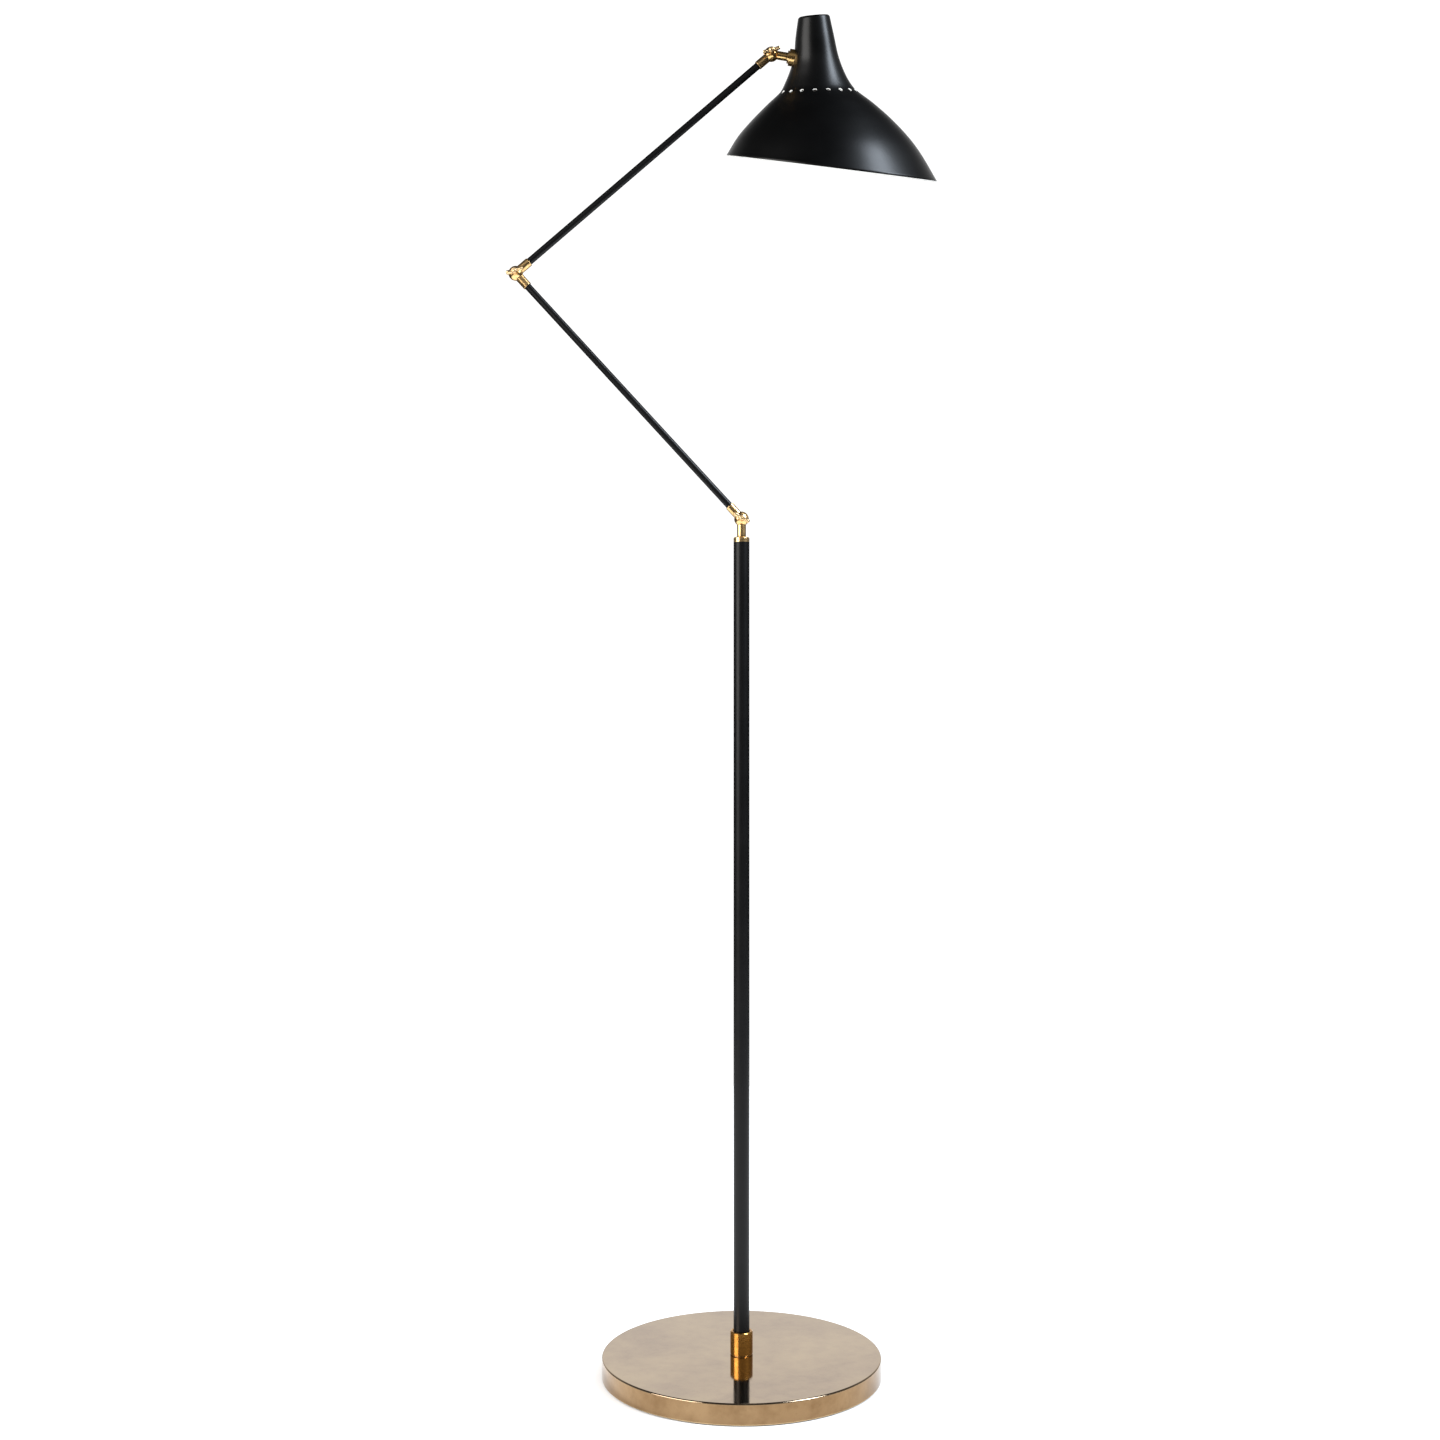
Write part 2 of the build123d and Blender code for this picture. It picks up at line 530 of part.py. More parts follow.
def build_head():
    save(head_stub(), "head_stub")
    save(circlip(STUB_LINE, stub_circlip_start()), "stub_circlip")
    outer = shade_form(False)
    inner = shade_form(True)
    contact = rod(HOLDER_LINE, CONTACT_RADIUS, SHELL_TOP, SHELL_TOP + CONTACT_THICKNESS)
    bracket_end = SADDLE_FACE + BRACKET_THICKNESS
    pieces = {
        "shade_shell": shade_shell(outer, inner),
        "shade_bush": shade_bush(outer),
        "inner_saddle": inner_saddle(inner),
        "holder_bracket": holder_bracket(),
        "shade_lock_nut": hexagon(STUB_LINE, LOCK_NUT_FLATS, BARREL_RADIUS, bracket_end,
                                  bracket_end + LOCK_NUT_HEIGHT),
        "lamp_holder": lamp_holder(),
        "holder_shell": tube(HOLDER_LINE, SHELL_RADIUS + SHELL_WALL, SHELL_RADIUS, SHELL_TOP + 1,
                             SHELL_TOP + 1 + SHELL_LENGTH),
        "holder_contact": contact,
        "holder_screws": Compound([holder_screw(line) for line in holder_screw_lines()]),
        "shade_lead": shade_lead(),
    }
    for name, piece in pieces.items():
        save(piece.rotate(SHADE_SWING, SHADE_TURN), name)


os.makedirs("parts", exist_ok=True)
build_base()
build_swivel()
build_arm("lower_arm", SHOULDER, LOWER_ARM_ANGLE, LOWER_ARM_REACH, "elbow", "shoulder")
build_arm("upper_arm", ELBOW, UPPER_ARM_ANGLE, UPPER_ARM_REACH, "head", "elbow")
build_head()
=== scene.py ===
import json
import math

import bmesh
import bpy
from mathutils import Matrix, Vector


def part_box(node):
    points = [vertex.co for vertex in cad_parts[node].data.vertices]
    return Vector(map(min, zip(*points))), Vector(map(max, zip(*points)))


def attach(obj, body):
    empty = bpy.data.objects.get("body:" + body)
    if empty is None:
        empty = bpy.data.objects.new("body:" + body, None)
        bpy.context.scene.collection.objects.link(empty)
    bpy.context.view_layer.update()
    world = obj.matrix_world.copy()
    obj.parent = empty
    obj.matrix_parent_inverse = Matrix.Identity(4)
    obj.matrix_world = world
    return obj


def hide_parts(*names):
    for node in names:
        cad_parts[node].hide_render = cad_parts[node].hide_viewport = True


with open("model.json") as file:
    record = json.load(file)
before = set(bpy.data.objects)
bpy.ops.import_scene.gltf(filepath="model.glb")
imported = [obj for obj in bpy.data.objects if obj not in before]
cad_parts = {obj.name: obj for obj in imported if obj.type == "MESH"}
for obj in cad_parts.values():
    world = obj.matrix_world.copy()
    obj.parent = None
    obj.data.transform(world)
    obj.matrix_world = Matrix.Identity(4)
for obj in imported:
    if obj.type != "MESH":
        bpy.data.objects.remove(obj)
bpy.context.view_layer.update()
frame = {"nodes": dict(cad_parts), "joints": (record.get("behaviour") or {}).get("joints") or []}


# Camera: a level view from the front at table height, square to the plane in which the arms fold.
# It stands far enough back to take in the whole lamp, from the floor to the shade's crown.
CAMERA_DISTANCE = 1.900
CAMERA_HEIGHT = 0.6577
CAMERA_SHIFT_LEFT = 0.0216
camera_data = bpy.data.cameras.new("front_camera")
camera_data.lens = 47.3
camera_data.sensor_width = 36.0
camera = bpy.data.objects.new("front_camera", camera_data)
camera.location = (-CAMERA_SHIFT_LEFT, -CAMERA_DISTANCE, CAMERA_HEIGHT)
camera.rotation_euler = (math.radians(90), 0, 0)
bpy.context.scene.collection.objects.link(camera)
bpy.context.scene.camera = camera


# Studio: a pale round floor under an even white light that reaches every side.
# Gloss mirrors a dim room with a light ring above the horizon, brightest behind, and two soft boxes.
def node(tree, kind, values=None, **settings):
    """A shader node with its settings, its socket values and its incoming links."""
    made = tree.nodes.new(kind)
    for name, value in settings.items():
        setattr(made, name, value)
    for socket, value in (values or {}).items():
        if isinstance(value, bpy.types.NodeSocket):
            tree.links.new(value, made.inputs[socket])
        else:
            made.inputs[socket].default_value = value
    return made


def math_of(tree, operation, *values):
    """The result of a math node on numbers and sockets."""
    return node(tree, "ShaderNodeMath", dict(enumerate(values)), operation=operation).outputs["Value"]


def rescale(tree, value, to_min=0.0, to_max=1.0, from_min=0.0, from_max=1.0, **settings):
    """A value spread from one range to another, and held inside it."""
    values = {"Value": value, "From Min": from_min, "From Max": from_max, "To Min": to_min, "To Max": to_max}
    return node(tree, "ShaderNodeMapRange", values, **settings).outputs["Result"]


def noise(tree, vector, scale, detail, **values):
    """The grey of a noise texture."""
    sockets = {"Vector": vector, "Scale": scale, "Detail": detail}
    sockets.update({name.replace("_", " "): value for name, value in values.items()})
    return node(tree, "ShaderNodeTexNoise", sockets).outputs["Fac"]


def on_piece(tree):
    """Places on the piece itself, in metres."""
    return node(tree, "ShaderNodeTexCoord").outputs["Object"]


def ramp(tree, fac, *stops):
    """A colour ramp through (place, grey or colour) stops."""
    made = node(tree, "ShaderNodeValToRGB", {"Fac": fac})
    elements = made.color_ramp.elements
    while len(elements) < len(stops):
        elements.new(0.5)
    for element, (place, colour) in zip(elements, stops):
        element.position = place
        element.color = (*colour, 1) if isinstance(colour, tuple) else (colour, colour, colour, 1)
    return made.outputs["Color"]


def finish(name):
    """A new material with its node tree and Principled shader."""
    material = bpy.data.materials.new(name)
    material.use_nodes = True
    return material, material.node_tree, material.node_tree.nodes["Principled BSDF"]


def into(tree, shader, **sockets):
    """Sets or links sockets of the Principled shader, with _ for the spaces in their names."""
    for socket, value in sockets.items():
        socket = shader.inputs[socket.replace("_", " ")]
        if isinstance(value, bpy.types.NodeSocket):
            tree.links.new(value, socket)
        else:
            socket.default_value = value


bpy.context.scene.view_settings.view_transform = "Standard"

room = bpy.data.worlds.new("studio")
room.use_nodes = True
room.cycles.sampling_method = "NONE"
sky = room.node_tree
sky.nodes.clear()
toward = node(sky, "ShaderNodeTexCoord").outputs["Generated"]
sides = node(sky, "ShaderNodeSeparateXYZ", {"Vector": toward})
FRONT_LEVEL = 0.3
BEHIND_STARTS, BEHIND_FULL = 0.70, 0.93         # how far the direction points to the back
HORIZON_LEVEL, HORIZON_STARTS, HORIZON_FULL = 0.12, 0.04, 0.20
CEILING_LEVEL, CEILING_STARTS, CEILING_FULL = 0.16, 0.42, 0.70
EVEN_LEVEL = 1.12
behind = rescale(sky, sides.outputs["Y"], FRONT_LEVEL, 1.0, BEHIND_STARTS, BEHIND_FULL,
                 interpolation_type="SMOOTHSTEP")
above = rescale(sky, sides.outputs["Z"], HORIZON_LEVEL, 1.0, HORIZON_STARTS, HORIZON_FULL,
                interpolation_type="SMOOTHSTEP")
below = rescale(sky, sides.outputs["Z"], CEILING_LEVEL, 1.0, CEILING_FULL, CEILING_STARTS,
                interpolation_type="SMOOTHSTEP")
level = math_of(sky, "MULTIPLY", behind, math_of(sky, "MULTIPLY", above, below))
in_gloss = node(sky, "ShaderNodeBackground", {"Color": (1, 1, 1, 1), "Strength": level})
all_round = node(sky, "ShaderNodeBackground", {"Color": (1, 1, 1, 1), "Strength": EVEN_LEVEL})
mirrored = node(sky, "ShaderNodeLightPath").outputs["Is Glossy Ray"]
shown = node(sky, "ShaderNodeMixShader", {0: mirrored, 1: all_round.outputs[0], 2: in_gloss.outputs[0]})
node(sky, "ShaderNodeOutputWorld", {"Surface": shown.outputs[0]})
bpy.context.scene.world = room

FLOOR_RADIUS = 1.5
floor_mesh = bpy.data.meshes.new("floor")
sheet = bmesh.new()
bmesh.ops.create_circle(sheet, cap_ends=True, segments=96, radius=FLOOR_RADIUS)
sheet.to_mesh(floor_mesh)
sheet.free()
floor = bpy.data.objects.new("floor", floor_mesh)
bpy.context.scene.collection.objects.link(floor)
pale_floor, tree, shader = finish("pale_floor")
grain = node(tree, "ShaderNodeTexNoise", {"Scale": 3.0, "Detail": 3.0})
into(tree, shader, Base_Color=ramp(tree, grain.outputs["Fac"], (0.3, 0.90), (0.7, 0.93)), Roughness=0.75,
     Specular_IOR_Level=0.2)
floor_mesh.materials.append(pale_floor)


def soft_box(name, place, aim, width, height, power, colour):
    """A soft rectangular light that faces a point and isn't itself in the picture."""
    data = bpy.data.lights.new(name, "AREA")
    data.shape = "RECTANGLE"
    data.size = width
    data.size_y = height
    data.energy = power
    data.color = colour
    light = bpy.data.objects.new(name, data)
    light.location = place
    light.rotation_euler = (Vector(aim) - Vector(place)).to_track_quat("-Z", "Y").to_euler()
    light.visible_camera = False
    bpy.context.scene.collection.objects.link(light)


soft_box("left_box", (-2.0, -1.3, 1.45), (0, 0, 0.9), 1.8, 1.8, 58, (1.0, 0.98, 0.96))
soft_box("right_box", (2.0, -0.85, 2.55), (0, 0, 1.2), 0.9, 1.7, 110, (0.80, 0.89, 1.0))


# Base cover: a spun brass dish, rubbed to a satin shine and left to darken in cloudy patches.
# It drops over the iron weight and is held down by the nut below.
def shader_group(name, inputs, outputs):
    """A node group with named inputs (name, kind, value) and outputs (name, kind)."""
    group = bpy.data.node_groups.new(name, "ShaderNodeTree")
    for label, kind, value in inputs:
        socket = group.interface.new_socket(name=label, in_out="INPUT", socket_type="NodeSocket" + kind)
        socket.default_value = value
    for label, kind in outputs:
        group.interface.new_socket(name=label, in_out="OUTPUT", socket_type="NodeSocket" + kind)
    return group, group.nodes.new("NodeGroupInput").outputs, group.nodes.new("NodeGroupOutput").inputs


def use_group(tree, group, values=None):
    placed = tree.nodes.new("ShaderNodeGroup")
    placed.node_tree = group
    for label, value in (values or {}).items():
        if isinstance(value, bpy.types.NodeSocket):
            tree.links.new(value, placed.inputs[label])
        else:
            placed.inputs[label].default_value = value
    return placed.outputs


def blend_colours(tree, fac, first, second, how="MIX"):
    mixed = node(tree, "ShaderNodeMix", data_type="RGBA", blend_type=how)
    for socket, value in ((0, fac), (6, first), (7, second)):
        if isinstance(value, bpy.types.NodeSocket):
            tree.links.new(value, mixed.inputs[socket])
        else:
            mixed.inputs[socket].default_value = value
    return mixed.outputs[2]


tarnish, given, gives = shader_group(
    "tarnish",
    [("Polished", "Color", (0.8, 0.6, 0.3, 1)), ("Tarnished", "Color", (0.4, 0.3, 0.2, 1)),
     ("Cloud Scale", "Float", 12.0), ("Amount", "Float", 0.5)],
    [("Color", "Color"), ("Dullness", "Float"), ("Height", "Float")])
BLOTCHES_PER_CLOUD = 7.0
SPECKS_PER_CLOUD = 60.0
place = on_piece(tarnish)
clouds = noise(tarnish, place, given["Cloud Scale"], 4.0, Roughness=0.55, Distortion=0.6)
blotch_scale = math_of(tarnish, "MULTIPLY", given["Cloud Scale"], BLOTCHES_PER_CLOUD)
blotches = noise(tarnish, place, blotch_scale, 6.0, Roughness=0.65)
speck_scale = math_of(tarnish, "MULTIPLY", given["Cloud Scale"], SPECKS_PER_CLOUD)
specks = noise(tarnish, place, speck_scale, 3.0)
cloud_mask = ramp(tarnish, clouds, (0.36, 0.0), (0.66, 1.0))
blotch_mask = ramp(tarnish, blotches, (0.42, 0.0), (0.72, 1.0))
speck_mask = ramp(tarnish, specks, (0.60, 0.0), (0.74, 1.0))
mixed = blend_colours(tarnish, 0.35, cloud_mask, blotch_mask)
mixed = blend_colours(tarnish, 0.12, mixed, speck_mask, "ADD")
dull = math_of(tarnish, "MULTIPLY", mixed, given["Amount"])
tarnish.links.new(blend_colours(tarnish, dull, given["Polished"], given["Tarnished"]), gives["Color"])
tarnish.links.new(dull, gives["Dullness"])
tarnish.links.new(math_of(tarnish, "ADD", blotches, specks), gives["Height"])

# Two masks: the edge mask is rubbed wear, and on the base cover also a painted highlight; the recess mask,
# from ambient occlusion, places painted shade in corners and recesses.
rub_and_shade, given, gives = shader_group(
    "rub_and_shade",
    [("Edge Width", "Float", 0.0006), ("Recess Depth", "Float", 0.004)],
    [("Rubbed And Highlit", "Float"), ("Recess Shade", "Float")])
true_normal = node(rub_and_shade, "ShaderNodeNewGeometry").outputs["Normal"]
rounded = node(rub_and_shade, "ShaderNodeBevel", {"Radius": given["Edge Width"]}, samples=4).outputs["Normal"]

EDGE_STARTS, EDGE_FULL = 0.985, 0.86            # cosine between the true and the rounded surface
RECESS_STARTS, RECESS_FULL = 0.92, 0.35         # share of the air left open


def vector_math(tree, operation, values, output="Vector"):
    return node(tree, "ShaderNodeVectorMath", values, operation=operation).outputs[output]


bend = vector_math(rub_and_shade, "DOT_PRODUCT", {0: true_normal, 1: rounded}, "Value")
rub_and_highlight = rescale(rub_and_shade, bend, from_min=EDGE_STARTS, from_max=EDGE_FULL)
open_air = node(rub_and_shade, "ShaderNodeAmbientOcclusion", {"Distance": given["Recess Depth"]}, samples=6,
                only_local=True).outputs["AO"]
recess_shade = rescale(rub_and_shade, open_air, from_min=RECESS_STARTS, from_max=RECESS_FULL)
rub_and_shade.links.new(rub_and_highlight, gives["Rubbed And Highlit"])
rub_and_shade.links.new(recess_shade, gives["Recess Shade"])

turned, given, gives = shader_group(
    "turned",
    [("Centre", "Vector", (0, 0, 0)), ("Axis", "Vector", (0, 0, 1)),
     ("Lines per Metre", "Float", 3000.0)],
    [("Rings", "Float"), ("Bands", "Float")])
offset = vector_math(turned, "SUBTRACT", {0: on_piece(turned), 1: given["Centre"]})
along = vector_math(turned, "DOT_PRODUCT", {0: offset, 1: given["Axis"]}, "Value")
foot = vector_math(turned, "SCALE", {0: given["Axis"], "Scale": along})
out = vector_math(turned, "DISTANCE", {0: offset, 1: foot}, "Value")
for distance, label in ((out, "Rings"), (along, "Bands")):
    step = math_of(turned, "MULTIPLY", distance, given["Lines per Metre"])
    lines = node(turned, "ShaderNodeTexNoise", {"W": step, "Scale": 1.0, "Detail": 2.0},
                 noise_dimensions="1D")
    turned.links.new(lines.outputs["Fac"], gives[label])


def bump(tree, height, distance, strength=1.0):
    """The surface tilted by a height, which is this many metres from low to high."""
    return node(tree, "ShaderNodeBump", {"Height": height, "Distance": distance,
                                         "Strength": strength}).outputs["Normal"]


def dress(material, *nodes):
    """Puts a material on every slot of carried-over CAD nodes."""
    for name in nodes:
        slots = frame["nodes"][name].material_slots
        for slot in slots:
            slot.material = material


cover_brass, tree, shader = finish("cover_brass")
cover_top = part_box("base_cover")[1].z
BAND_ENDS = 0.0016                              # below the top, where the side's colour starts to give way
TOP_STARTS = 0.0002
skin = use_group(tree, tarnish, {"Polished": (0.52, 0.405, 0.275, 1),
                                 "Tarnished": (0.35, 0.265, 0.205, 1),
                                 "Cloud Scale": 9.0, "Amount": 0.8})
# The side's brass is a darker copy of the top's: painted shade on the side.
shaded_side = use_group(tree, tarnish, {"Polished": (0.33, 0.215, 0.112, 1),
                                 "Tarnished": (0.13, 0.067, 0.027, 1),
                                 "Cloud Scale": 8.0, "Amount": 0.9})
height = node(tree, "ShaderNodeSeparateXYZ", {"Vector": on_piece(tree)}).outputs["Z"]
on_top = rescale(tree, height, from_min=cover_top - BAND_ENDS, from_max=cover_top - TOP_STARTS)
rubbing_and_shade = use_group(tree, rub_and_shade, {"Edge Width": 0.0015, "Recess Depth": 0.006})
lathe = use_group(tree, turned, {"Lines per Metre": 2200.0})
colour = blend_colours(tree, on_top, shaded_side["Color"], skin["Color"])
# The rounded edges get a lighter colour: partly rubbed wear, partly a painted highlight.
colour = blend_colours(tree, rubbing_and_shade["Rubbed And Highlit"], colour, (0.80, 0.60, 0.34, 1))
rough = rescale(tree, skin["Dullness"], 0.05, 0.13)
into(tree, shader, Base_Color=colour, Metallic=1.0, Roughness=rough,
     Normal=bump(tree, lathe["Rings"], 0.000004))
dress(cover_brass, "base_cover")


# Base weight: a grey iron casting that keeps the lamp standing, rough from the sand mould.
# The nut and washer below it pull the cover and the pole's foot plug together.
cast_iron, tree, shader = finish("cast_iron")
place = on_piece(tree)
sand = noise(tree, place, 900.0, 5.0, Roughness=0.7)
rust = noise(tree, place, 30.0, 5.0)
pits = node(tree, "ShaderNodeTexVoronoi", {"Vector": place, "Scale": 260.0})
colour = blend_colours(tree, ramp(tree, rust, (0.55, 0.0), (0.75, 0.6)),
                       (0.10, 0.10, 0.105, 1), (0.13, 0.065, 0.035, 1))
colour = blend_colours(tree, 0.5, colour, ramp(tree, sand, (0.3, 0.45), (0.7, 1.0)), "MULTIPLY")
cast = math_of(tree, "ADD", sand, pits.outputs["Distance"])
into(tree, shader, Base_Color=colour, Metallic=0.75, Roughness=0.62, Normal=bump(tree, cast, 0.0005, 0.6))
dress(cast_iron, "base_weight")


# Base pad: a disc of dark pressed felt, punched out and glued under the weight.
# It keeps the iron off the floor, so that it doesn't mark it.
felt, tree, shader = finish("felt")
place = on_piece(tree)
fibres = noise(tree, place, 1400.0, 4.0, Distortion=2.0)
lint = noise(tree, place, 90.0, 3.0)
colour = blend_colours(tree, fibres, (0.018, 0.017, 0.016, 1), (0.075, 0.070, 0.064, 1))
colour = blend_colours(tree, ramp(tree, lint, (0.55, 0.0), (0.8, 0.25)), colour, (0.14, 0.13, 0.12, 1))
into(tree, shader, Base_Color=colour, Roughness=0.95, Sheen_Weight=0.3, Specular_IOR_Level=0.1,
     Normal=bump(tree, fibres, 0.0006))
dress(felt, "base_pad")


# Nipple, washer, nut, foot plug: plated steel turned and stamped parts, out of sight in the base.
# The same dull zinc finish is on the saddle, bracket and screws inside the shade.
zinc, tree, shader = finish("zinc_plate")
place = on_piece(tree)
spangle = node(tree, "ShaderNodeTexVoronoi", {"Vector": place, "Scale": 420.0})
streak = noise(tree, place, 160.0, 5.0)
rubbing_and_shade = use_group(tree, rub_and_shade, {"Edge Width": 0.0003, "Recess Depth": 0.003})
colour = blend_colours(tree, streak, (0.50, 0.51, 0.52, 1), (0.66, 0.66, 0.64, 1))
colour = blend_colours(tree, 0.25, colour, spangle.outputs["Color"], "SOFT_LIGHT")
# Painted shade: darker in recesses, where the occlusion mask finds little open air.
colour = blend_colours(tree, rubbing_and_shade["Recess Shade"], colour, (0.14, 0.13, 0.12, 1))
rough = rescale(tree, streak, 0.24, 0.46)
into(tree, shader, Base_Color=colour, Metallic=1.0, Roughness=rough, Normal=bump(tree, streak, 0.00003))
dress(zinc, "base_nipple", "base_washer", "base_nut", "pole_foot_plug", "inner_saddle", "holder_bracket",
      "shade_lock_nut", "holder_screws")


# Cord bushing: a moulded black nylon ring where a lead would enter the back of the base.
# It snaps into a hole in the cover's side.
nylon, tree, shader = finish("black_nylon")
place = on_piece(tree)
mould = noise(tree, place, 1800.0, 3.0)
flow = noise(tree, place, 200.0, 2.0)
colour = blend_colours(tree, flow, (0.012, 0.012, 0.013, 1), (0.024, 0.024, 0.025, 1))
rough = rescale(tree, mould, 0.40, 0.58)
into(tree, shader, Base_Color=colour, Roughness=rough, Normal=bump(tree, mould, 0.00004))
dress(nylon, "cord_bushing")


# Foot sleeve: a turned brass collar with a chamfered lip that hides the joint of pole and base.
# The ferrule, swivel, sockets, stub and bush are turned from the same bar.
RUBBED_BRASS = (0.95, 0.76, 0.44, 1)
PAINTED_RECESS_SHADE = (0.050, 0.026, 0.011, 1)           # dark colour for painted shade in corners and recesses


def turned_brass(name, centre, axis, polished=(0.98, 0.66, 0.30), tarnished=(0.50, 0.28, 0.10)):
    """Brass turned about an axis, rubbed bright on its edges, with painted shade darkening its corners."""
    material, tree, shader = finish(name)
    skin = use_group(tree, tarnish, {"Polished": (*polished, 1), "Tarnished": (*tarnished, 1),
                                     "Cloud Scale": 90.0, "Amount": 0.8})
    rubbing_and_shade = use_group(tree, rub_and_shade, {"Edge Width": 0.0005, "Recess Depth": 0.0045})
    lathe = use_group(tree, turned, {"Centre": centre, "Axis": axis, "Lines per Metre": 5000.0})
    colour = blend_colours(tree, rubbing_and_shade["Rubbed And Highlit"], skin["Color"], RUBBED_BRASS)
    # Painted shade: darker in corners and recesses.
    colour = blend_colours(tree, rubbing_and_shade["Recess Shade"], colour, PAINTED_RECESS_SHADE)
    rough = rescale(tree, skin["Dullness"], 0.20, 0.34)
    into(tree, shader, Base_Color=colour, Metallic=1.0, Roughness=rough,
         Normal=bump(tree, lathe["Bands"], 0.00001))
    return material


joints = {joint["name"]: joint for joint in frame["joints"]}
shoulder = Vector(joints["shoulder"]["pos_m"])
elbow = Vector(joints["elbow"]["pos_m"])
head = Vector(joints["head_tilt"]["pos_m"])
seat = Vector(joints["shade_swivel"]["pos_m"])
stub_axis = Vector(joints["shade_swivel"]["axis"])
lower_axis = (elbow - shoulder).normalized()
upper_axis = (head - elbow).normalized()

UPRIGHT = (0, 0, 1)
upright_brass = turned_brass("upright_brass", (0, 0, 0), UPRIGHT, (1.0, 0.70, 0.33), (0.66, 0.40, 0.16))
dress(upright_brass, "pole_ferrule", "mast_swivel")


def turned_piece(name, outline, body, material):
    """A piece turned about the pole's axis from its outline of (radius, height) points."""
    mesh = bmesh.new()
    points = [mesh.verts.new((radius, 0, height)) for radius, height in outline]
    edges = [mesh.edges.new((points[k], points[(k + 1) % len(points)])) for k in range(len(points))]
    bmesh.ops.spin(mesh, geom=points + edges, cent=(0, 0, 0), axis=UPRIGHT, angle=2 * math.pi,
                   steps=128, use_merge=True)
    bmesh.ops.recalc_face_normals(mesh, faces=mesh.faces)
    for face in mesh.faces:
        face.smooth = True
    data = bpy.data.meshes.new(name)
    mesh.to_mesh(data)
    mesh.free()
    data.materials.append(material)
    piece = bpy.data.objects.new(name, data)
    bpy.context.scene.collection.objects.link(piece)
    soften = piece.modifiers.new("soften", "BEVEL")
    soften.width = 0.00012
    soften.segments = 3
    soften.limit_method = "ANGLE"
    soften.angle_limit = math.radians(25)
    soften.harden_normals = True
    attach(piece, body)
    return piece


sleeve_low, sleeve_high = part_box("foot_sleeve")
sleeve_out = sleeve_high.x
SLEEVE_PLAY = 0.00005                           # between the pole and the sleeve's bore
FOOT_STEP = 0.0006                              # the sleeve is narrower by this where it meets the cover
TOP_CHAMFER = 0.0009
sleeve_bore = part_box("pole_tube")[1].x + SLEEVE_PLAY
foot_brass = turned_brass("foot_brass", (0, 0, 0), UPRIGHT, (0.62, 0.32, 0.076), (0.32, 0.14, 0.030))
foot_collar = turned_piece("foot_collar", [
    (sleeve_bore, sleeve_low.z),
    (sleeve_out - FOOT_STEP, sleeve_low.z),
    (sleeve_out - FOOT_STEP, sleeve_low.z + 0.0005),
    (sleeve_out, sleeve_low.z + 0.0011),
    (sleeve_out, sleeve_high.z - 0.0010),
    (sleeve_out - TOP_CHAMFER, sleeve_high.z),
    (sleeve_bore + TOP_CHAMFER, sleeve_high.z),
    (sleeve_bore, sleeve_high.z - TOP_CHAMFER)], "base", foot_brass)
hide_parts("foot_sleeve")


# Pole: drawn steel tube in satin black enamel, with the faint peel of a sprayed coat.
# The arm tubes are finished in the same enamel.
enamel, given, gives = shader_group(
    "enamel",
    [("Coat", "Color", (0.02, 0.02, 0.02, 1)), ("Haze", "Color", (0.03, 0.03, 0.03, 1)),
     ("Dust", "Color", (0.05, 0.05, 0.05, 1)), ("Peel Scale", "Float", 600.0)],
    [("Color", "Color"), ("Roughness", "Float"), ("Height", "Float")])
LINT_PER_PEEL = 1.7
place = on_piece(enamel)
peel = noise(enamel, place, given["Peel Scale"], 2.0)
haze = noise(enamel, place, 22.0, 4.0)
lint = noise(enamel, place, math_of(enamel, "MULTIPLY", given["Peel Scale"], LINT_PER_PEEL), 1.0)
dust = ramp(enamel, lint, (0.745, 0.0), (0.80, 1.0))
hazy = ramp(enamel, haze, (0.35, 0.0), (0.7, 0.35))
lifted = blend_colours(enamel, hazy, given["Coat"], given["Haze"])
enamel.links.new(blend_colours(enamel, dust, lifted, given["Dust"]), gives["Color"])
enamel.links.new(rescale(enamel, haze, 0.31, 0.37, 0.3, 0.7), gives["Roughness"])
enamel.links.new(math_of(enamel, "ADD", peel, dust), gives["Height"])

PEEL_DEPTH = 0.000004
ENAMEL_IOR = 1.32
tube_black, tree, shader = finish("tube_black")
coat = use_group(tree, enamel, {"Coat": (0.0020, 0.0020, 0.0022, 1), "Haze": (0.0032, 0.0032, 0.0035, 1),
                                "Dust": (0.012, 0.0115, 0.011, 1), "Peel Scale": 900.0})
into(tree, shader, Base_Color=coat["Color"], Roughness=coat["Roughness"], IOR=ENAMEL_IOR,
     Normal=bump(tree, coat["Height"], PEEL_DEPTH))
dress(tube_black, "pole_tube", "lower_arm_tube", "upper_arm_tube")


# Lead: flexible two-core lead in a dark jacket, drawn through the pole and the arm tubes.
# It is seen only where it crosses gaps inside the lamp.
jacket, tree, shader = finish("lead_jacket")
skin = noise(tree, on_piece(tree), 1200.0, 2.0)
colour = blend_colours(tree, skin, (0.030, 0.022, 0.016, 1), (0.055, 0.042, 0.030, 1))
into(tree, shader, Base_Color=colour, Roughness=0.5, Normal=bump(tree, skin, 0.00005))
dress(jacket, "pole_lead", "lower_arm_lead", "upper_arm_lead", "shade_lead")


# Swivel circlip and stub circlip: spring steel rings, blued in the temper.
# Each snaps into a groove at the end of its spindle and keeps it from lifting out.
spring, tree, shader = finish("spring_steel")
temper = noise(tree, on_piece(tree), 300.0, 3.0)
colour = blend_colours(tree, temper, (0.10, 0.11, 0.15, 1), (0.26, 0.22, 0.20, 1))
into(tree, shader, Base_Color=colour, Metallic=1.0, Roughness=0.34, Normal=bump(tree, temper, 0.00002))
dress(spring, "swivel_circlip", "stub_circlip")


